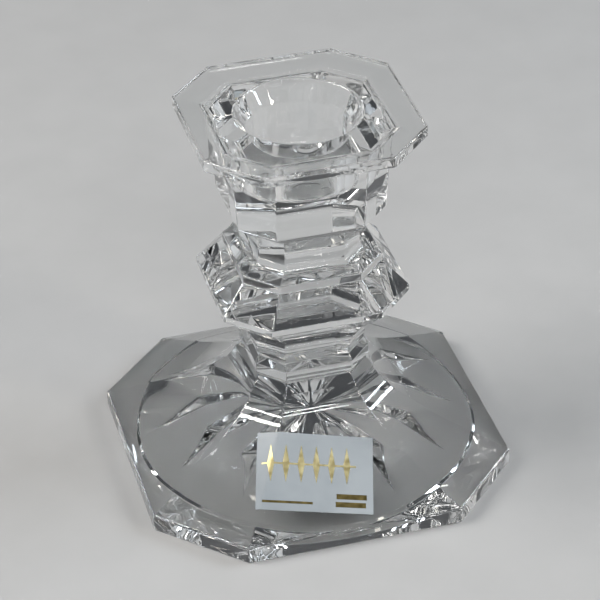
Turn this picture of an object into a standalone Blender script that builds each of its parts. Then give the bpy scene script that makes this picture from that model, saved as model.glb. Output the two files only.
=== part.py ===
"""Glass candlestick: one pressed and cut crystal body on an octagonal foot, and a stuck-on foil label.

The body stands on its foot at the origin, +Z up. Its outer form is a stack of octagons whose four
long sides face X and Y and whose four short sides face the diagonals. Sizes are in metres.
"""

import math

import bmesh
import bpy
from mathutils import Matrix, Vector

MM = 0.001

# Driving dimensions of the glass body.
HEIGHT = 86.8 * MM
CORNER_RATIO = 1.12  # distance of the short sides from the axis, over that of the long sides
FOOT_HALF = 41.7 * MM  # half width across the long sides
FOOT_EDGE = 3.95 * MM  # height of the foot's upright rim
STEM_HALF = 12.3 * MM
FLARE_TOP = (14.0 * MM, 22.5 * MM)  # half width and height where the foot's flare ends under the bead
FLARE_PULL = ((28.0 * MM, 10.4 * MM), (16.0 * MM, 15.8 * MM))  # control points of the flare's curve
FLARE_STEPS = 10
BEAD_Z = (24.8 * MM, 30.0 * MM)  # raised band around the lower stem
BEAD_HALF = 13.2 * MM
KNOP_HALF = 21.2 * MM
KNOP_Z = (44.2 * MM, 45.6 * MM)
KNOP_SHOULDER_HALF = 15.8 * MM
KNOP_SHOULDER_Z = (51.3 * MM, 53.1 * MM)
KNOP_NECK_HALF = 15.4 * MM
KNOP_NECK_Z = 38.5 * MM
NECK_HALF = 11.5 * MM
NECK_Z = (55.3 * MM, 61.3 * MM)
CUP_BASE_HALF = 14.5 * MM
CUP_BASE_Z = 63.2 * MM
CUP_HALF = (16.7 * MM, 17.7 * MM)  # at the foot and the head of the cup's outer wall
CUP_Z = (65.4 * MM, 81.8 * MM)
RIM_HALF = 24.5 * MM
RIM_THICKNESS = 2.7 * MM

# Candle socket: a tapered mouth, then a nearly straight bore with a round-edged floor.
MOUTH_RADIUS = 14.0 * MM
BORE_RADIUS = 11.3 * MM
BORE_TOP_Z = 82.4 * MM
FLOOR_RADIUS = 10.9 * MM
FLOOR_Z = 71.8 * MM
FLOOR_EDGE = 1.2 * MM

# Underside: a hollow inside a flat standing ring, with a star of pointed grooves cut into it.
HOLLOW_RADIUS = 37.7 * MM
HOLLOW_EDGE = 1.1 * MM  # height of the steep step at the hollow's edge
HOLLOW_LEAN = 0.4 * MM  # how far that step leans inwards
HOLLOW_CENTRE = 7.0 * MM
STAR_RAYS = 12
STAR_TURN = math.radians(20.5)
RAY_TIP = 33.6 * MM
RAY_WIDEST = 21.0 * MM  # distance from the axis at which neighbouring rays stop meeting
RAY_START = 0.8 * MM  # distance from the axis at which each ray begins
RAY_HALF_WIDTH = 5.3 * MM
RAY_DEPTH = 2.8 * MM
HUB_DEPTH = 0.5 * MM  # depth of the grooves where they start, close together round the axis

# Label: a thin film on the foot's curved top, with foil printed on it.
CLEARANCE = 0.3 * MM
FILM_THICKNESS = 0.12 * MM
FOIL_THICKNESS = 0.10 * MM
LABEL_WIDTH = 26.0 * MM
LABEL_LENGTH = 17.2 * MM  # in plan; about 19 mm along the slope
LABEL_CENTRE = Vector((-5.4 * MM, -28.1 * MM, 0))
LABEL_TURN = math.radians(-14.5)
MOTIF_LOZENGES = 6
MOTIF_LOZENGE_HALF = (0.85 * MM, 3.9 * MM)
MOTIF_RULE_HALF = 0.2 * MM
MOTIF_CENTRE = (-0.6 * MM, 2.2 * MM)
MOTIF_PITCH = 3.4 * MM
BAR_HALF = (3.3 * MM, 0.5 * MM)
BAR_CENTRES = {"label_foil_bar_upper": (7.8 * MM, -4.6 * MM), "label_foil_bar_lower": (7.6 * MM, -6.3 * MM)}
RULE_HALF = (5.3 * MM, 0.28 * MM)
RULE_CENTRE = (-6.2 * MM, -6.1 * MM)

SOCKET_SEGMENTS = 48
HOLLOW_SEGMENTS = 64
HIGHEST = 2 * HEIGHT  # taller than anything, for cutters that run right through


def clear_scene():
    for found in list(bpy.data.objects):
        bpy.data.objects.remove(found)


def new_collection(name):
    made = bpy.data.collections.new(name)
    bpy.context.scene.collection.children.link(made)
    return made


def new_material(name, colour, roughness, metallic=0.0, transmission=0.0, ior=1.5, alpha=1.0):
    made = bpy.data.materials.new(name)
    made.use_nodes = True
    shader = made.node_tree.nodes["Principled BSDF"]
    shader.inputs["Base Color"].default_value = (*colour, 1.0)
    shader.inputs["Roughness"].default_value = roughness
    shader.inputs["Metallic"].default_value = metallic
    shader.inputs["Transmission Weight"].default_value = transmission
    shader.inputs["IOR"].default_value = ior
    shader.inputs["Alpha"].default_value = alpha
    return made


def new_object(name, form, collection, material=None):
    """Turns a bmesh into a named object."""
    mesh = bpy.data.meshes.new(name)
    form.to_mesh(mesh)
    form.free()
    if material:
        mesh.materials.append(material)
    made = bpy.data.objects.new(name, mesh)
    collection.objects.link(made)
    return made


def as_helper(cutter):
    cutter.hide_render = True
    cutter.display_type = "WIRE"
    return cutter


def boolean(target, other, operation):
    modifier = target.modifiers.new(f"{operation.lower()} {other.name}", "BOOLEAN")
    modifier.operation = operation
    modifier.solver = "EXACT"
    modifier.object = other


def octagon(half_width, height):
    """Corners of a horizontal octagon, anticlockwise from the +X side."""
    reach = half_width * (CORNER_RATIO * math.sqrt(2) - 1)
    side = ((half_width, -reach), (half_width, reach))
    corners = []
    for quarter in range(4):
        turn = Matrix.Rotation(quarter * math.pi / 2, 2)
        corners += [Vector((*(turn @ Vector(point)), height)) for point in side]
    return corners


def loft(name, profile, collection, material=None):
    """Closed solid through a stack of octagons, given as (half width, height) from bottom to top."""
    form = bmesh.new()
    rings = [[form.verts.new(corner) for corner in octagon(*level)] for level in profile]
    form.faces.new(reversed(rings[0]))
    for lower, upper in zip(rings, rings[1:]):
        for side in range(8):
            after = (side + 1) % 8
            form.faces.new((lower[side], lower[after], upper[after], upper[side]))
    form.faces.new(rings[-1])
    return new_object(name, form, collection, material)


def blend(weights, corners):
    """The weighted mean of some (half width, height) pairs."""
    return tuple(sum(w * corner[axis] for w, corner in zip(weights, corners)) for axis in (0, 1))


def curve_between(start, end, control, steps):
    """Points after start along a smooth concave corner that leans towards control, up to end."""
    points = []
    for step in range(1, steps + 1):
        t = step / steps
        points.append(blend(((1 - t) ** 2, 2 * t * (1 - t), t**2), (start, control, end)))
    return points


def flare_curve():
    """The foot's top as (half width, height), a hollow curve from its edge up to the stem."""
    corners = ((FOOT_HALF, FOOT_EDGE), *FLARE_PULL, FLARE_TOP)
    points = []
    for step in range(FLARE_STEPS + 1):
        t = step / FLARE_STEPS
        weights = ((1 - t) ** 3, 3 * t * (1 - t) ** 2, 3 * t**2 * (1 - t), t**3)
        points.append(blend(weights, corners))
    return points


def body_profile():
    """Outline of the glass body as (half width, height), from the underside up to the rim."""
    bead = [
        (STEM_HALF, BEAD_Z[0]),
        (BEAD_HALF, BEAD_Z[0] + 1.0 * MM),
        (BEAD_HALF, BEAD_Z[1] - 1.8 * MM),
        (STEM_HALF, BEAD_Z[1]),
    ]
    knop_neck = (KNOP_NECK_HALF, KNOP_NECK_Z)
    shoulder = (KNOP_SHOULDER_HALF, KNOP_SHOULDER_Z[1])
    neck_foot = (NECK_HALF, NECK_Z[0])
    neck_head = (NECK_HALF, NECK_Z[1])
    cup_base = (CUP_BASE_HALF, CUP_BASE_Z)
    cup_head = (CUP_HALF[1], CUP_Z[1])
    under_rim = (CUP_HALF[1] + 2.4 * MM, HEIGHT - RIM_THICKNESS)
    profile = [(FOOT_HALF, 0)] + flare_curve() + bead
    profile += curve_between(bead[-1], knop_neck, (STEM_HALF + 0.3 * MM, 35.0 * MM), 3)
    profile += [(KNOP_HALF, KNOP_Z[0]), (KNOP_HALF, KNOP_Z[1])]
    profile += [(KNOP_SHOULDER_HALF, KNOP_SHOULDER_Z[0]), shoulder]
    profile += curve_between(shoulder, neck_foot, (NECK_HALF, KNOP_SHOULDER_Z[1] + 0.6 * MM), 4)
    profile += [neck_head]
    profile += curve_between(neck_head, cup_base, (NECK_HALF, CUP_BASE_Z - 0.3 * MM), 3)
    profile += [(CUP_HALF[0], CUP_Z[0]), cup_head]
    profile += curve_between(cup_head, under_rim, (CUP_HALF[1] + 0.2 * MM, HEIGHT - RIM_THICKNESS), 3)
    profile += [(RIM_HALF, HEIGHT - RIM_THICKNESS), (RIM_HALF, HEIGHT)]
    return profile


def turned(name, profile, segments, collection):
    """Round cutter from a profile of (radius, height), given from top to bottom."""
    form = bmesh.new()
    points = [form.verts.new((radius, 0, height)) for radius, height in profile]
    for upper, lower in zip(points, points[1:]):
        form.edges.new((upper, lower))
    made = as_helper(new_object(name, form, collection))
    screw = made.modifiers.new("turn", "SCREW")
    screw.steps = segments
    screw.render_steps = segments
    screw.use_merge_vertices = True
    screw.merge_threshold = 1e-6
    return made


def socket_cutter(collection):
    rise = (MOUTH_RADIUS - BORE_RADIUS) / (HEIGHT - BORE_TOP_Z)
    over = 2.0 * MM
    profile = [
        (0, HEIGHT + over),
        (MOUTH_RADIUS + over * rise, HEIGHT + over),
        (BORE_RADIUS, BORE_TOP_Z),
        (FLOOR_RADIUS, FLOOR_Z + FLOOR_EDGE),
        (FLOOR_RADIUS - FLOOR_EDGE * 0.3, FLOOR_Z + FLOOR_EDGE * 0.3),
        (FLOOR_RADIUS - FLOOR_EDGE, FLOOR_Z),
        (0, FLOOR_Z),
    ]
    return turned("socket_cutter", profile, SOCKET_SEGMENTS, collection)


def hollow_height(radius):
    """Height of the hollow's ceiling, a shallow dome that rises towards the axis."""
    share = radius / (HOLLOW_RADIUS - HOLLOW_LEAN)
    return HOLLOW_CENTRE - (HOLLOW_CENTRE - HOLLOW_EDGE) * share**2


def hollow_cutter(collection):
    steps = 8
    dome_radii = [step / steps * (HOLLOW_RADIUS - HOLLOW_LEAN) for step in range(steps + 1)]
    profile = [(radius, hollow_height(radius)) for radius in dome_radii]
    profile += [(HOLLOW_RADIUS, 0), (HOLLOW_RADIUS, -2.0 * MM), (0, -2.0 * MM)]
    return turned("hollow_cutter", profile, HOLLOW_SEGMENTS, collection)


def ray_cutter(number, collection):
    """One leaf-shaped V groove of the star, as the hull of its two ends, its width and its ridge."""
    below = -1.0 * MM
    spread = RAY_HALF_WIDTH * (hollow_height(RAY_WIDEST) + RAY_DEPTH - below) / RAY_DEPTH
    form = bmesh.new()
    points = [
        (RAY_START, 0, HOLLOW_CENTRE + HUB_DEPTH),
        (RAY_TIP, 0, hollow_height(RAY_TIP)),
        (RAY_WIDEST, 0, hollow_height(RAY_WIDEST) + RAY_DEPTH),
        (RAY_START, 0, below),
        (RAY_TIP, 0, below),
        (RAY_WIDEST, spread, below),
        (RAY_WIDEST, -spread, below),
    ]
    for point in points:
        form.verts.new(point)
    bmesh.ops.convex_hull(form, input=form.verts)
    turn = Matrix.Rotation(number * math.tau / STAR_RAYS + STAR_TURN, 3, "Z")
    bmesh.ops.rotate(form, verts=form.verts, matrix=turn)
    return as_helper(new_object(f"ray_cutter_{number + 1}", form, collection))


def glass_body(parts, cutters, material):
    body = loft("glass_body", body_profile(), parts, material)
    boolean(body, socket_cutter(cutters), "DIFFERENCE")
    boolean(body, hollow_cutter(cutters), "DIFFERENCE")
    for number in range(STAR_RAYS):
        boolean(body, ray_cutter(number, cutters), "DIFFERENCE")
    return body


def label_layer(name, lift, thickness, parts, material):
    """Thin sheet that follows the foot's curved top at a height above it, ready to be trimmed."""
    lower_side = [(half_width, height + lift) for half_width, height in reversed(flare_curve())]
    upper_side = [(half_width, height + thickness) for half_width, height in reversed(lower_side)]
    form = bmesh.new()
    rings = [[form.verts.new(corner) for corner in octagon(*level)] for level in lower_side + upper_side]
    for lower, upper in zip(rings, rings[1:] + rings[:1]):
        for side in range(8):
            after = (side + 1) % 8
            form.faces.new((lower[side], lower[after], upper[after], upper[side]))
    return new_object(name, form, parts, material)


def outline_cutter(name, outline, cutters):
    """Upright prism over a flat outline, given in the label's own plane from its centre."""
    form = bmesh.new()
    ring = [form.verts.new((x, y, 0)) for x, y in outline]
    face = form.faces.new(ring)
    made = bmesh.ops.extrude_face_region(form, geom=[face])
    raised = [item for item in made["geom"] if isinstance(item, bmesh.types.BMVert)]
    bmesh.ops.translate(form, verts=raised, vec=(0, 0, HIGHEST))
    bmesh.ops.recalc_face_normals(form, faces=form.faces)
    bmesh.ops.rotate(form, verts=form.verts, matrix=Matrix.Rotation(LABEL_TURN, 3, "Z"))
    bmesh.ops.translate(form, verts=form.verts, vec=LABEL_CENTRE)
    return as_helper(new_object(name, form, cutters))


def rectangle(centre, half):
    signs = ((-1, -1), (1, -1), (1, 1), (-1, 1))
    return [(centre[0] + sx * half[0], centre[1] + sy * half[1]) for sx, sy in signs]


def motif_outline():
    """A row of tall lozenges strung on one thin rule."""
    width, tall = MOTIF_LOZENGE_HALF
    near = width * (1 - MOTIF_RULE_HALF / tall)
    first = -(MOTIF_LOZENGES - 1) / 2 * MOTIF_PITCH
    end = -first + MOTIF_PITCH * 0.8
    lower = [(-end, -MOTIF_RULE_HALF)]
    for number in range(MOTIF_LOZENGES):
        middle = first + number * MOTIF_PITCH
        lower += [(middle - near, -MOTIF_RULE_HALF), (middle, -tall), (middle + near, -MOTIF_RULE_HALF)]
    lower += [(end, -MOTIF_RULE_HALF)]
    upper = [(x, -y) for x, y in reversed(lower)]
    return [(x + MOTIF_CENTRE[0], y + MOTIF_CENTRE[1]) for x, y in lower + upper]


def label_piece(name, outline, lift, thickness, parts, cutters, material):
    layer = label_layer(name, lift, thickness, parts, material)
    boolean(layer, outline_cutter(f"{name}_outline", outline, cutters), "INTERSECT")
    return layer


def label(parts, cutters, film, foil):
    whole = rectangle((0, 0), (LABEL_WIDTH / 2, LABEL_LENGTH / 2))
    label_piece("label_film", whole, CLEARANCE, FILM_THICKNESS, parts, cutters, film)
    outlines = {"label_foil_motif": motif_outline(), "label_foil_rule": rectangle(RULE_CENTRE, RULE_HALF)}
    for name, centre in BAR_CENTRES.items():
        outlines[name] = rectangle(centre, BAR_HALF)
    lift = 2 * CLEARANCE + FILM_THICKNESS
    for name, outline in outlines.items():
        label_piece(name, outline, lift, FOIL_THICKNESS, parts, cutters, foil)


def main():
    clear_scene()
    parts = new_collection("glass_candlestick")
    cutters = new_collection("cutters")
    crystal = new_material("crystal", (0.97, 0.98, 0.98), 0.02, transmission=1.0, ior=1.55)
    film = new_material("label_film", (0.80, 0.85, 0.90), 0.45, alpha=0.9)
    foil = new_material("gold_foil", (0.83, 0.69, 0.30), 0.30, metallic=1.0)
    glass_body(parts, cutters, crystal)
    label(parts, cutters, film, foil)


main()
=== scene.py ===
"""Looks of the glass candlestick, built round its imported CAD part. Sizes are in metres."""

import bisect
import math

import bmesh
import bpy
from mathutils import Matrix, Vector, noise


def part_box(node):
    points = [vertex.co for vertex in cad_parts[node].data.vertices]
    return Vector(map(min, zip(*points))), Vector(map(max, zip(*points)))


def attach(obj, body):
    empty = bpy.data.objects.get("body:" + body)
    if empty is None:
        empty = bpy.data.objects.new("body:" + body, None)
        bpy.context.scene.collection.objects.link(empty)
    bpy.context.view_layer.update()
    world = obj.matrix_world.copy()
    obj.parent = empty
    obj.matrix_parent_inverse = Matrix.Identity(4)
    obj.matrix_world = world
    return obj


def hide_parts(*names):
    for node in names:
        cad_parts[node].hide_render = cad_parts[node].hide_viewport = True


MM = 0.001

# The glass body. Its surface stays within 0.5 mm of its CAD solid, whose edges are sharp.
CORNER_RATIO = 1.12  # distance of the octagon's short sides from the axis, over that of its long ones
FOOT_EDGE = 3.95 * MM  # height of the foot's upright edge
FOOT_INSET = 2.5 * MM
FLARE_TOP = (14.0 * MM, 22.5 * MM)
FLARE_PULL = ((28.0 * MM, 10.4 * MM), (16.0 * MM, 15.8 * MM))
STEM_HALF = 12.3 * MM
STEM_Z = (24.8 * MM, 30.0 * MM)  # where the bead begins and ends on the stem
BEAD_HALF = 13.2 * MM
BEAD_Z = (25.8 * MM, 28.2 * MM)
KNOP_FOOT_HALF = 12.7 * MM
KNOP_FOOT_Z = 33.6 * MM
KNOP_NECK_HALF = 15.4 * MM
KNOP_NECK_Z = 38.5 * MM
KNOP_HALF = 21.2 * MM
KNOP_Z = (44.2 * MM, 45.6 * MM)
SHOULDER_HALF = 15.8 * MM
SHOULDER_Z = (51.3 * MM, 53.1 * MM)
NECK_HALF = (11.6 * MM, 11.5 * MM)  # at the neck's two heights
NECK_Z = (53.8 * MM, 62.6 * MM)
CUP_BASE_HALF = 14.5 * MM
CUP_BASE_Z = 63.3 * MM
CUP_HALF = (16.7 * MM, 17.7 * MM)
CUP_Z = 65.5 * MM
CUP_UNDER_RIM = 0.3 * MM  # how far below the rim the cup's wall ends
RIM_HALF = 24.5 * MM
RIM_THICKNESS = 2.7 * MM
RIM_LEDGE = 3.0 * MM  # depth, inside either edge of the rim's top face, of the rings next to the edge
MOUTH_RADIUS = 14.0 * MM
BORE_RADIUS = 11.3 * MM
BORE_TOP_Z = 82.4 * MM
FLOOR_RADIUS = 10.9 * MM
FLOOR_Z = 71.8 * MM
FLOOR_CROWN = 0.15 * MM
HOLLOW_RADIUS = 37.7 * MM
HOLLOW_EDGE = 1.1 * MM
HOLLOW_LEAN = 0.4 * MM
HOLLOW_CENTRE = 7.0 * MM

# The star cut into the underside.
STAR_RAYS = 12
STAR_TURN = math.radians(20.5)
RAY_TIP = 33.6 * MM
RAY_WIDEST = 21.0 * MM
RAY_HALF_WIDTH = 5.3 * MM
RAY_DEPTH = 2.8 * MM
HUB_DEPTH = 0.5 * MM
RAY_END_SLOPE = 3  # how steeply a groove's line runs out of the glass past its tip
CUT_ROUND = 0.16 * MM  # softness of the star's edges, which are polished after cutting
LEAF_LEAST = math.radians(0.5)  # half of the narrowest leaf that a ring keeps room for
GAP_LEAST = math.radians(0.7)  # half of the narrowest gap between two leaves

# The pressed surface: a slow wave all over, and pebbles where the socket's floor ends.
WAVE_HEIGHT = 0.01 * MM
WAVES_PER_METRE = 60
PEBBLE_HEIGHT = 0.04 * MM
PEBBLES_PER_METRE = 600
PEBBLE_BAND = 1.2 * MM  # how far above and below the floor the pebbles reach
PEBBLE_INNER_RADIUS = 0.75 * FLOOR_RADIUS
STANDING_FACE_TOP = 0.3 * MM  # below this height the glass is ground flat and has no wave

# How the body's surface is rounded, and how finely it is divided.
FACET_EDGE_ROUND = 0.7 * MM  # radius of the upright edges between two facets
LONG_SIDE_STEPS = 16
SHORT_SIDE_STEPS = 8
CORNER_STEPS = 5
ROUNDING_STEPS = 5
FLARE_STEPS = 18
OUTER_STEP = 1.6 * MM
SOCKET_STEP = 0.6 * MM
UNDER_STEP = 0.8 * MM
LEAF_SHARES = (0, 0.03, 0.08, 0.2, 0.4, 0.6, 0.8, 0.92, 0.97, 1)  # from a groove's middle to its edge
GAP_SHARES = (0.25, 0.6)  # from a groove's edge to the middle of the gap beside it
ROUNDING_SHARE = 0.45  # the most of a side that the rounding at one of its ends takes up
FACET_ROUND_SHARE = 0.2  # the most that the upright edges' radius is, over the half width
OCTAGON_HALF_TURN = math.pi / 8  # half of the turn from one side of an octagon to the next
BODY_SHARP_ANGLE = math.radians(32)  # edges that bend by more than this are shaded sharp
LABEL_SHARP_ANGLE = math.radians(40)

# The label, a flat sheet that is wrapped over the foot's front facet and the ridge on its left.
# Its centre is given as across the front facet and down the slope from the top of the flare.
# It follows the photograph's label more closely than the CAD one, and lies up to 1.7 mm from it.
LABEL_WIDTH = 26.1 * MM
LABEL_LENGTH = 18.8 * MM
LABEL_CENTRE = Vector((-5.6 * MM, 19.0 * MM))
LABEL_TURN = math.radians(14.7)
LABEL_STEP = 0.5 * MM
SLOPE_STEPS = 60
FILM_LIFT = 0.05 * MM
FILM_THICKNESS = 0.08 * MM
FOIL_LIFT = FILM_LIFT + FILM_THICKNESS + 0.01 * MM
FOIL_THICKNESS = 0.03 * MM
MOTIF_LOZENGES = 6
MOTIF_LOZENGE_HALF = (0.8 * MM, 4.5 * MM)
MOTIF_RULE_HALF = 0.2 * MM
MOTIF_CENTRE = (-1.3 * MM, 2.1 * MM)
MOTIF_PITCH = 3.4 * MM
MOTIF_RULE_END = 0.6 * MOTIF_PITCH  # the rule's length past the outer lozenges' middles
BAR_HALF = (3.35 * MM, 0.62 * MM)
BAR_CENTRES = {"upper": (8.25 * MM, -5.4 * MM), "lower": (8.05 * MM, -7.35 * MM)}
RULE_HALF = (5.6 * MM, 0.28 * MM)
RULE_CENTRE = (-6.0 * MM, -7.3 * MM)

# The stage.
FLOOR_PLANE_HALF = 4.0
FLOOR_PLANE_DROP = 0.02 * MM
LIGHTS_TARGET = (0, 0, 0.04)
TUBE_SHARE = 0.28  # of the height of a bank of several tubes, the part that is lit and not gap

# The camera, from the photograph's viewing angle.
CAMERA_TURN = math.radians(-15.0)
CAMERA_ELEVATION = math.radians(34.45)
CAMERA_DISTANCE = 606.5 * MM
CAMERA_SIDE = -0.52 * MM
CAMERA_LIFT = 30.98 * MM
CAMERA_ROLL = math.radians(-1.2)
CAMERA_LENS = 156.3


# ---------------------------------------------------------------- helpers

def link(made):
    bpy.context.scene.collection.objects.link(made)
    return made


def object_from(name, form, material):
    mesh = bpy.data.meshes.new(name)
    form.to_mesh(mesh)
    form.free()
    mesh.materials.append(material)
    return link(bpy.data.objects.new(name, mesh))


def smooth_with_edges(piece, angle):
    """Shades a piece smooth, but for the edges that bend by more than the angle."""
    piece.data.shade_smooth()
    piece.data.set_sharp_from_angle(angle=angle)
    weighted = piece.modifiers.new("weighted_normals", "WEIGHTED_NORMAL")
    weighted.keep_sharp = True


def as_piece(made, node_name):
    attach(made, "root")
    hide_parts(node_name)
    return made


def new_material(name):
    made = bpy.data.materials.new(name)
    made.use_nodes = True
    nodes = made.node_tree.nodes
    return made, nodes, made.node_tree.links, nodes["Principled BSDF"]


def node(nodes, kind, **values):
    """A shader node with its inputs, by name, and its settings, by attribute."""
    made = nodes.new(kind)
    for key, value in values.items():
        if key in made.inputs:
            made.inputs[key].default_value = value
        else:
            setattr(made, key, value)
    return made


def ramp(nodes, stops):
    made = nodes.new("ShaderNodeValToRGB")
    elements = made.color_ramp.elements
    while len(elements) < len(stops):
        elements.new(0.5)
    for element, (place, level) in zip(elements, stops):
        element.position = place
        element.color = (level, level, level, 1) if isinstance(level, float) else (*level, 1)
    return made


# ---------------------------------------------------------------- outlines

def blend(weights, points):
    return sum((point * weight for point, weight in zip(points, weights)), Vector((0, 0))) / sum(weights)


def flare_point(share, foot_half):
    """The foot's top as (half width, height), a hollow curve from its edge, at share 0, to the stem."""
    ahead = 1 - share
    weights = (ahead**3, 3 * share * ahead**2, 3 * share**2 * ahead, share**3)
    corners = ((foot_half, FOOT_EDGE), *FLARE_PULL, FLARE_TOP)
    return blend(weights, [Vector(corner) for corner in corners])


def round_between(start, corner, end, half_angle, steps):
    """Points of the circular arc from start to end that touches both sides of the corner."""
    points = []
    for step in range(steps + 1):
        t = step / steps
        weights = ((1 - t) ** 2, 2 * t * (1 - t) * math.sin(half_angle), t**2)
        points.append(blend(weights, (start, corner, end)))
    return points


def arc(before, corner, after, radius):
    """Points of a rounded corner, an arc of this radius where the two sides are long enough for it."""
    back = before - corner
    ahead = after - corner
    half_angle = back.angle(ahead) / 2
    longest_reach = ROUNDING_SHARE * min(back.length, ahead.length)
    reach = min(radius / math.tan(half_angle), longest_reach)
    start = corner + back.normalized() * reach
    end = corner + ahead.normalized() * reach
    return round_between(start, corner, end, half_angle, ROUNDING_STEPS)


def rounded(corners):
    """An outline's points, from its corners as (half width, height, radius of the rounding)."""
    places = [Vector(corner[:2]) for corner in corners]
    outline = [places[0]]
    for before, place, after, corner in zip(places, places[1:], places[2:], corners[1:]):
        outline += arc(before, place, after, corner[2]) if corner[2] else [place]
    return outline + [places[-1]]


def divided(outline, longest):
    """The outline with its long stretches cut into steps."""
    points = [outline[0]]
    for start, end in zip(outline, outline[1:]):
        steps = max(1, round((end - start).length / longest))
        points += [start.lerp(end, step / steps) for step in range(1, steps + 1)]
    return points


def foot_corners(foot_half):
    """Corners of the foot, from inside its standing face up to the ring under the bead."""
    flare = [(*flare_point(step / FLARE_STEPS, foot_half), 0) for step in range(2, FLARE_STEPS - 1)]
    return [
        (foot_half - FOOT_INSET, 0, 0),
        (foot_half, 0, 0.4 * MM),
        (foot_half, FOOT_EDGE, 0.8 * MM),
        *flare,
        (*FLARE_TOP, 0.5 * MM),
    ]


def stem_corners():
    """Corners of the bead, the lower neck, the knop and the upper neck."""
    return [
        (STEM_HALF, STEM_Z[0], 0.5 * MM),
        (BEAD_HALF, BEAD_Z[0], 0.5 * MM),
        (BEAD_HALF, BEAD_Z[1], 0.5 * MM),
        (STEM_HALF, STEM_Z[1], 0.6 * MM),
        (KNOP_FOOT_HALF, KNOP_FOOT_Z, 7.0 * MM),
        (KNOP_NECK_HALF, KNOP_NECK_Z, 4.0 * MM),
        (KNOP_HALF, KNOP_Z[0], 0.3 * MM),
        (KNOP_HALF, KNOP_Z[1], 0.3 * MM),
        (SHOULDER_HALF, SHOULDER_Z[0], 0.3 * MM),
        (SHOULDER_HALF, SHOULDER_Z[1], 0.3 * MM),
        (NECK_HALF[0], NECK_Z[0], 2.4 * MM),
        (NECK_HALF[1], NECK_Z[1], 1.6 * MM),
    ]


def cup_corners(height):
    """Corners of the cup's outside and the rim, to the rim's top face."""
    under_rim = height - RIM_THICKNESS
    return [
        (CUP_BASE_HALF, CUP_BASE_Z, 0.4 * MM),
        (CUP_HALF[0], CUP_Z, 0.5 * MM),
        (CUP_HALF[1], under_rim - CUP_UNDER_RIM, 2.2 * MM),
        (RIM_HALF, under_rim, 0.4 * MM),
        (RIM_HALF, height, 0.4 * MM),
        (RIM_HALF - RIM_LEDGE, height, 0),
    ]


def socket_corners(height):
    """Corners of the round socket, from the rim's top face to the middle of the socket's floor."""
    return [
        (MOUTH_RADIUS + RIM_LEDGE, height, 0),
        (MOUTH_RADIUS, height, 0.7 * MM),
        (BORE_RADIUS, BORE_TOP_Z, 3.0 * MM),
        (FLOOR_RADIUS, FLOOR_Z, 1.6 * MM),
        (0, FLOOR_Z + FLOOR_CROWN, 0),
    ]


def hollow_height(radius):
    """Height of the hollow's ceiling, a dome that rises towards the axis."""
    share = radius / (HOLLOW_RADIUS - HOLLOW_LEAN)
    return HOLLOW_CENTRE - (HOLLOW_CENTRE - HOLLOW_EDGE) * share**2


def hollow_outline():
    """The underside without its star, from the axis to the standing face."""
    edge = HOLLOW_RADIUS - HOLLOW_LEAN
    steps = round(edge / UNDER_STEP)
    dome = [(edge * step / steps, hollow_height(edge * step / steps), 0) for step in range(steps)]
    step_corners = [(edge, HOLLOW_EDGE, 0.25 * MM), (HOLLOW_RADIUS, 0, 0.25 * MM)]
    return rounded(dome + step_corners + [(HOLLOW_RADIUS + MM, 0, 0)])


# ---------------------------------------------------------------- the glass body's rings

def octagon_points(half_width):
    """Points round an octagon whose corners are rounded, anticlockwise."""
    reach = half_width * (CORNER_RATIO * math.sqrt(2) - 1)
    cut = min(FACET_EDGE_ROUND, FACET_ROUND_SHARE * half_width) * math.tan(OCTAGON_HALF_TURN)
    corners = []
    for quarter in range(4):
        turn = Matrix.Rotation(quarter * math.pi / 2, 2)
        corners += [turn @ Vector((half_width, -reach)), turn @ Vector((half_width, reach))]
    points = []
    for index, corner in enumerate(corners):
        before = (corners[index - 1] - corner).normalized()
        after = (corners[(index + 1) % 8] - corner).normalized()
        start, end = corner + before * cut, corner + after * cut
        points += round_between(start, corner, end, math.pi / 2 - OCTAGON_HALF_TURN, CORNER_STEPS)
        finish = corners[(index + 1) % 8] - after * cut
        steps = LONG_SIDE_STEPS if index % 2 == 0 else SHORT_SIDE_STEPS
        points += [points[-1].lerp(finish, step / steps) for step in range(1, steps)]
    return points


def octagon_ring(place):
    return [Vector((*point, place.y)) for point in octagon_points(place.x)]


def round_ring(place):
    """A circle with as many points as an octagon, at the same angles."""
    return [Vector((*point.normalized() * place.x, place.y)) for point in octagon_points(RIM_HALF)]


def groove_height(radius, angle):
    """Height of one groove's walls, at an angle from the groove's middle line."""
    along = radius * math.cos(angle)
    across = math.hypot(radius * math.sin(angle), CUT_ROUND)
    hub = HOLLOW_CENTRE + HUB_DEPTH
    top = hollow_height(RAY_WIDEST) + RAY_DEPTH
    tip = hollow_height(RAY_TIP)
    if along < RAY_WIDEST:
        line = hub + (top - hub) * along / RAY_WIDEST
    elif along < RAY_TIP:
        line = top + (tip - top) * (along - RAY_WIDEST) / (RAY_TIP - RAY_WIDEST)
    else:
        line = tip - RAY_END_SLOPE * (along - RAY_TIP)
    return line - across * RAY_DEPTH / RAY_HALF_WIDTH


def soft_highest(first, second):
    return (first + second + math.hypot(first - second, CUT_ROUND)) / 2


def leaf_half_angle(radius, plain):
    """Half the angle that a groove takes up at this radius, kept inside its share of the circle."""
    half_sector = math.pi / STAR_RAYS
    across = (groove_height(radius, 0) - plain) * RAY_HALF_WIDTH / RAY_DEPTH
    angle = math.asin(max(0.0, min(1.0, across / radius)))
    return max(LEAF_LEAST, min(angle, half_sector - GAP_LEAST))


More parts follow.
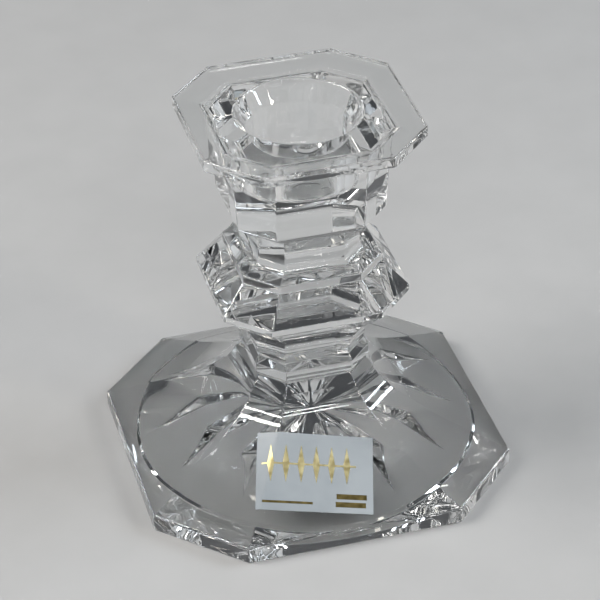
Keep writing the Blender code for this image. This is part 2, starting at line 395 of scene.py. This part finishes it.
def under_ring(place):
    """One ring of the underside, with the star cut in and the points gathered at its grooves' edges."""
    radius, plain = place
    half_sector = math.pi / STAR_RAYS
    in_dome = plain > 0.9 * HOLLOW_EDGE  # the star isn't cut into the step at the dome's edge
    leaf = leaf_half_angle(radius, plain)
    half = [leaf * share for share in LEAF_SHARES]
    half += [leaf + (half_sector - leaf) * share for share in GAP_SHARES]
    angles = [-half_sector] + [-angle for angle in reversed(half[1:])] + half
    ring = []
    for number in range(STAR_RAYS):
        for angle in angles:
            height = plain
            if in_dome:
                own = groove_height(radius, angle)
                next_one = groove_height(radius, 2 * half_sector - abs(angle))
                height = soft_highest(soft_highest(own, next_one), plain)
            azimuth = number * 2 * half_sector + STAR_TURN + angle
            ring.append(Vector((radius * math.cos(azimuth), radius * math.sin(azimuth), height)))
    return ring


# ---------------------------------------------------------------- the glass body's mesh

def moulded(point):
    """How far the pressed surface stands off its true shape at a point."""
    stand = WAVE_HEIGHT * noise.noise(point * WAVES_PER_METRE)
    in_ring = PEBBLE_INNER_RADIUS < point.xy.length < BORE_RADIUS
    if in_ring and abs(point.z - FLOOR_Z) < PEBBLE_BAND:
        stand += PEBBLE_HEIGHT * noise.noise(point * PEBBLES_PER_METRE)
    return stand


def add_ring(form, points):
    return [form.verts.new(point) for point in points]


def join_rings(form, lower, upper):
    for index, (first, second) in enumerate(zip(lower, upper)):
        after = (index + 1) % len(lower)
        form.faces.new((first, lower[after], upper[after], second))


def close_ring(form, ring, point):
    middle = form.verts.new(point)
    for index, vert in enumerate(ring):
        form.faces.new((vert, ring[(index + 1) % len(ring)], middle))


def zip_rings(form, inner, outer):
    """Joins two flat rings with unlike numbers of points, taking their points in turn by angle."""
    def by_angle(ring):
        sorted_ring = sorted(ring, key=lambda vert: math.atan2(vert.co.y, vert.co.x))
        return [(math.atan2(vert.co.y, vert.co.x), vert) for vert in sorted_ring]

    def closed(ring):
        return ring + [(ring[0][0] + math.tau, ring[0][1])]

    inner, outer = closed(by_angle(inner)), closed(by_angle(outer))
    i = o = 0
    while i < len(inner) - 1 or o < len(outer) - 1:
        take_inner = o == len(outer) - 1 or (i < len(inner) - 1 and inner[i + 1][0] <= outer[o + 1][0])
        third = inner[i + 1][1] if take_inner else outer[o + 1][1]
        form.faces.new((inner[i][1], outer[o][1], third))
        i, o = (i + 1, o) if take_inner else (i, o + 1)


def glass_form(foot_half, height):
    form = bmesh.new()
    under = [add_ring(form, under_ring(place)) for place in hollow_outline()[1:]]
    corners = foot_corners(foot_half) + stem_corners() + cup_corners(height)
    outer = [add_ring(form, octagon_ring(place)) for place in divided(rounded(corners), OUTER_STEP)]
    socket = divided(rounded(socket_corners(height)), SOCKET_STEP)
    inner = [add_ring(form, round_ring(place)) for place in socket[:-1]]
    for rings in (under, outer + inner):
        for lower, upper in zip(rings, rings[1:]):
            join_rings(form, lower, upper)
    close_ring(form, under[0], (0, 0, HOLLOW_CENTRE + HUB_DEPTH))
    close_ring(form, inner[-1], (0, 0, socket[-1].y))
    zip_rings(form, under[-1], outer[0])
    bmesh.ops.recalc_face_normals(form, faces=form.faces)
    form.normal_update()
    for vert in form.verts:
        if vert.co.z > STANDING_FACE_TOP:
            vert.co += vert.normal * moulded(vert.co)
    return form


def glass_body(material):
    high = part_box("glass_body")[1]
    body = object_from("glass_body_fine", glass_form(high.x, high.z), material)
    smooth_with_edges(body, BODY_SHARP_ANGLE)
    return as_piece(body, "glass_body")


# ---------------------------------------------------------------- the label's pieces

def rectangle(centre, half):
    signs = ((-1, -1), (1, -1), (1, 1), (-1, 1))
    return [(centre[0] + sx * half[0], centre[1] + sy * half[1]) for sx, sy in signs]


def motif_outline():
    """A row of tall lozenges strung on one thin rule."""
    width, tall = MOTIF_LOZENGE_HALF
    near = width * (1 - MOTIF_RULE_HALF / tall)
    first = -(MOTIF_LOZENGES - 1) / 2 * MOTIF_PITCH
    end = -first + MOTIF_RULE_END
    lower = [(-end, -MOTIF_RULE_HALF)]
    for number in range(MOTIF_LOZENGES):
        middle = first + number * MOTIF_PITCH
        lower += [(middle - near, -MOTIF_RULE_HALF), (middle, -tall), (middle + near, -MOTIF_RULE_HALF)]
    lower += [(end, -MOTIF_RULE_HALF)]
    upper = [(x, -y) for x, y in reversed(lower)]
    return [(x + MOTIF_CENTRE[0], y + MOTIF_CENTRE[1]) for x, y in lower + upper]


def cut_by_grid(form, step):
    """Cuts a flat form along both of its directions, so that it can bend."""
    for axis in (Vector((1, 0, 0)), Vector((0, 1, 0))):
        places = [vert.co.dot(axis) for vert in form.verts]
        for number in range(math.ceil(min(places) / step), math.ceil(max(places) / step)):
            parts = form.verts[:] + form.edges[:] + form.faces[:]
            place = axis * number * step
            bmesh.ops.bisect_plane(form, geom=parts, plane_co=place, plane_no=axis, dist=1e-7)


def foot_slope(foot_half):
    """Rows of half width, height, and length down a long and a short facet, from the flare's top."""
    rows = [(*FLARE_TOP, 0.0, 0.0)]
    for step in range(1, SLOPE_STEPS + 1):
        half_width, height = flare_point(1 - step / SLOPE_STEPS, foot_half)
        out, down = half_width - rows[-1][0], rows[-1][1] - height
        long_facet = rows[-1][2] + math.hypot(out, down)
        short_facet = rows[-1][3] + math.hypot(CORNER_RATIO * out, down)
        rows.append((half_width, height, long_facet, short_facet))
    return rows


def row_where(rows, column, value):
    """The row, between two of these, at which one column reaches a value, and the step between them."""
    index = bisect.bisect_left(rows, value, key=lambda row: row[column])
    before, after = rows[index - 1], rows[index]
    share = (value - before[column]) / (after[column] - before[column])
    row = [first + (second - first) * share for first, second in zip(before, after)]
    return row, [second - first for first, second in zip(before, after)]


def wrapped(across, down, rows):
    """Where a point of the flat sheet, given across and down the front facet, lies on the foot.

    Past the ridge the sheet turns by the fold between the two facets' slopes and keeps its lengths.
    """
    front_reach = CORNER_RATIO * math.sqrt(2) - 1  # from the facet's middle to its ridge, per half width
    side_reach = (1 - front_reach) / math.sqrt(2)
    (half_width, height, _, down_side), step = row_where(rows, 2, down)
    past_ridge = -across - front_reach * half_width
    if past_ridge <= 0:
        return Vector((across, -half_width, height))
    fold = math.atan2(front_reach * step[0], step[2]) + math.atan2(side_reach * step[0], step[3])
    along = past_ridge * math.cos(fold) - side_reach * half_width
    (half_width, height, _, _), _ = row_where(rows, 3, down_side + past_ridge * math.sin(fold))
    outward = Vector((-1, -1)) / math.sqrt(2)
    sideways = Vector((-1, 1)) / math.sqrt(2)
    return Vector((*(outward * CORNER_RATIO * half_width + sideways * along), height))


def label_piece(name, outline, lift, thickness, material):
    """A thin sheet over a flat outline, wrapped on the foot's top."""
    rows = foot_slope(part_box("glass_body")[1].x)
    form = bmesh.new()
    form.faces.new([form.verts.new((x, y, 0)) for x, y in outline])
    cut_by_grid(form, LABEL_STEP)
    turn = Matrix.Rotation(LABEL_TURN, 2)
    for vert in form.verts:
        across, down = LABEL_CENTRE + turn @ Vector((vert.co.x, -vert.co.y))
        vert.co = wrapped(across, down, rows)
    bmesh.ops.recalc_face_normals(form, faces=form.faces)
    form.normal_update()
    for vert in form.verts:
        vert.co += vert.normal * math.copysign(lift, vert.normal.z)
    raised = bmesh.ops.extrude_face_region(form, geom=form.faces[:])
    verts = [item for item in raised["geom"] if isinstance(item, bmesh.types.BMVert)]
    bmesh.ops.translate(form, verts=verts, vec=(0, 0, thickness))
    bmesh.ops.recalc_face_normals(form, faces=form.faces)
    made = object_from(f"{name}_fine", form, material)
    smooth_with_edges(made, LABEL_SHARP_ANGLE)
    return made


def label(film, foil, painted_shade_foil):
    whole = rectangle((0, 0), (LABEL_WIDTH / 2, LABEL_LENGTH / 2))
    made = label_piece("label_film", whole, FILM_LIFT, FILM_THICKNESS, film)
    as_piece(made, "label_film")
    # The rule and the two bars take a darker copy of the gold foil: painted shade for foil that catches
    # less light there.
    prints = {
        "label_foil_motif": (motif_outline(), foil),
        "label_foil_rule": (rectangle(RULE_CENTRE, RULE_HALF), painted_shade_foil),
    }
    for side, centre in BAR_CENTRES.items():
        prints[f"label_foil_bar_{side}"] = (rectangle(centre, BAR_HALF), painted_shade_foil)
    for name, (outline, material) in prints.items():
        made = label_piece(name, outline, FOIL_LIFT, FOIL_THICKNESS, material)
        as_piece(made, name)


# ---------------------------------------------------------------- materials

def crystal_material():
    made, nodes, links, shader = new_material("crystal")
    shader.inputs["Transmission Weight"].default_value = 1.0
    shader.inputs["IOR"].default_value = 1.55
    shader.inputs["Roughness"].default_value = 0.0
    place = node(nodes, "ShaderNodeTexCoord")
    cloud = node(nodes, "ShaderNodeTexNoise", Scale=45.0, Detail=1.0)
    tint = ramp(nodes, [(0.35, (0.972, 0.984, 0.982)), (0.65, (0.992, 0.996, 0.996))])
    waves = node(nodes, "ShaderNodeTexNoise", Scale=150.0, Detail=2.0, Roughness=0.4)
    bump = node(nodes, "ShaderNodeBump", Strength=0.008, Distance=0.0003)
    links.new(place.outputs["Object"], cloud.inputs["Vector"])
    links.new(cloud.outputs["Fac"], tint.inputs["Fac"])
    links.new(tint.outputs["Color"], shader.inputs["Base Color"])
    links.new(place.outputs["Object"], waves.inputs["Vector"])
    links.new(waves.outputs["Fac"], bump.inputs["Height"])
    links.new(bump.outputs["Normal"], shader.inputs["Normal"])
    return made


def foil_material(name, low, high):
    """Hot-stamped metal foil, a little mottled and grained, between two colours."""
    made, nodes, links, shader = new_material(name)
    shader.inputs["Metallic"].default_value = 1.0
    place = node(nodes, "ShaderNodeTexCoord")
    grain = node(nodes, "ShaderNodeTexNoise", Scale=900.0, Detail=4.0)
    tone = ramp(nodes, [(0.2, low), (0.8, high)])
    sheen = ramp(nodes, [(0.3, 0.36), (0.7, 0.5)])
    bump = node(nodes, "ShaderNodeBump", Strength=0.05, Distance=0.00005)
    links.new(place.outputs["Object"], grain.inputs["Vector"])
    links.new(grain.outputs["Fac"], tone.inputs["Fac"])
    links.new(grain.outputs["Fac"], sheen.inputs["Fac"])
    links.new(grain.outputs["Fac"], bump.inputs["Height"])
    links.new(tone.outputs["Color"], shader.inputs["Base Color"])
    links.new(sheen.outputs["Color"], shader.inputs["Roughness"])
    links.new(bump.outputs["Normal"], shader.inputs["Normal"])
    return made


def film_material():
    """Milky satin film, slightly cloudy and pebbled."""
    made, nodes, links, shader = new_material("label_film")
    shader.inputs["Coat Weight"].default_value = 0.25
    shader.inputs["Coat Roughness"].default_value = 0.25
    place = node(nodes, "ShaderNodeTexCoord")
    cloud = node(nodes, "ShaderNodeTexNoise", Scale=90.0, Detail=3.0)
    tone = ramp(nodes, [(0.3, (0.27, 0.30, 0.325)), (0.7, (0.33, 0.36, 0.385))])
    pebble = node(nodes, "ShaderNodeTexNoise", Scale=1600.0, Detail=2.0)
    sheen = ramp(nodes, [(0.3, 0.32), (0.7, 0.48)])
    bump = node(nodes, "ShaderNodeBump", Strength=0.12, Distance=0.00004)
    links.new(place.outputs["Object"], cloud.inputs["Vector"])
    links.new(place.outputs["Object"], pebble.inputs["Vector"])
    links.new(cloud.outputs["Fac"], tone.inputs["Fac"])
    links.new(pebble.outputs["Fac"], sheen.inputs["Fac"])
    links.new(pebble.outputs["Fac"], bump.inputs["Height"])
    links.new(tone.outputs["Color"], shader.inputs["Base Color"])
    links.new(sheen.outputs["Color"], shader.inputs["Roughness"])
    links.new(bump.outputs["Normal"], shader.inputs["Normal"])
    return made


def floor_material():
    made, nodes, links, shader = new_material("floor")
    place = node(nodes, "ShaderNodeTexCoord")
    grain = node(nodes, "ShaderNodeTexNoise", Scale=60.0, Detail=4.0)
    tone = ramp(nodes, [(0.3, 0.42), (0.7, 0.44)])
    links.new(place.outputs["Object"], grain.inputs["Vector"])
    links.new(grain.outputs["Fac"], tone.inputs["Fac"])
    links.new(tone.outputs["Color"], shader.inputs["Base Color"])
    shader.inputs["Roughness"].default_value = 0.6
    return made


# ---------------------------------------------------------------- stage

def floor():
    form = bmesh.new()
    bmesh.ops.create_grid(form, x_segments=1, y_segments=1, size=FLOOR_PLANE_HALF)
    made = object_from("floor", form, floor_material())
    made.location.z = -FLOOR_PLANE_DROP


def tube_bank(name, place, size, power, colour=(1, 1, 1), tubes=1):
    """Lights of one width, stacked to fill a height, that face the object."""
    place = Vector(place)
    aim = (Vector(LIGHTS_TARGET) - place).to_track_quat("-Z", "Y")
    width, height = size
    pitch = height / tubes
    for tube in range(tubes):
        data = bpy.data.lights.new(f"{name}_{tube + 1}", "AREA")
        data.shape = "RECTANGLE"
        data.size = width
        data.size_y = pitch * (TUBE_SHARE if tubes > 1 else 1)
        data.energy = power / tubes
        data.color = colour
        made = link(bpy.data.objects.new(data.name, data))
        made.location = place + aim @ Vector((0, (tube - (tubes - 1) / 2) * pitch, 0))
        made.rotation_mode = "QUATERNION"
        made.rotation_quaternion = aim


def lights():
    warm, cool, amber = (1.0, 0.98, 0.95), (0.86, 0.93, 1.0), (1.0, 0.94, 0.84)
    tube_bank("key", (-0.75, 0.15, 0.75), (0.7, 0.5), power=11.0, colour=warm, tubes=4)
    tube_bank("fill", (0.85, -0.1, 0.6), (0.6, 0.5), power=7.0, colour=cool, tubes=4)
    tube_bank("front", (-0.1, -0.9, 0.9), (0.8, 0.25), power=4.0, tubes=2)
    tube_bank("low", (0.55, -0.62, 0.36), (0.1, 0.26), power=2.6, colour=amber)
    world = bpy.data.worlds.new("studio")
    world.use_nodes = True
    world.node_tree.nodes["Background"].inputs["Color"].default_value = (0.055, 0.058, 0.062, 1)
    bpy.context.scene.world = world


def camera():
    turn = Matrix.Rotation(CAMERA_TURN, 3, "Z")
    side = turn @ Vector((1, 0, 0))
    up = turn @ Vector((0, math.sin(CAMERA_ELEVATION), math.cos(CAMERA_ELEVATION)))
    back = turn @ Vector((0, -math.cos(CAMERA_ELEVATION), math.sin(CAMERA_ELEVATION)))
    data = bpy.data.cameras.new("camera")
    data.lens = CAMERA_LENS
    data.sensor_width = 36
    data.clip_start = 0.05
    data.clip_end = 20
    made = link(bpy.data.objects.new("camera", data))
    level = Matrix((side, up, back)).transposed()
    rotation = level @ Matrix.Rotation(CAMERA_ROLL, 3, "Z")
    place = side * CAMERA_SIDE + up * CAMERA_LIFT + back * CAMERA_DISTANCE
    made.matrix_world = Matrix.Translation(place) @ rotation.to_4x4()
    bpy.context.scene.camera = made


def glass_rendering():
    """Enough bounces to see through the body, and a view that keeps the glass's contrast."""
    cycles = bpy.context.scene.cycles
    cycles.max_bounces = 24
    cycles.transmission_bounces = 24
    cycles.glossy_bounces = 12
    bpy.context.scene.view_settings.view_transform = "Standard"


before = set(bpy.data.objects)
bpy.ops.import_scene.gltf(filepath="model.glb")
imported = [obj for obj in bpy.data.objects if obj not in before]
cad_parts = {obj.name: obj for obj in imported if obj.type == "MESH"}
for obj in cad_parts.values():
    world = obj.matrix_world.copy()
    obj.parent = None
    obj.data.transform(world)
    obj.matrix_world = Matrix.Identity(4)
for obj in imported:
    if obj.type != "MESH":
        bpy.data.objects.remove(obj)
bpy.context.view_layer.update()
camera()
glass_body(crystal_material())
label(
    film_material(),
    foil_material("gold_foil", (0.90, 0.74, 0.32), (1.0, 0.90, 0.55)),
    # The same gold foil made darker in colour, as painted shade for the rule and bars catching less
    # light.
    foil_material("gold_foil_painted_shade", (0.20, 0.15, 0.05), (0.34, 0.27, 0.11)),
)
floor()
lights()
glass_rendering()
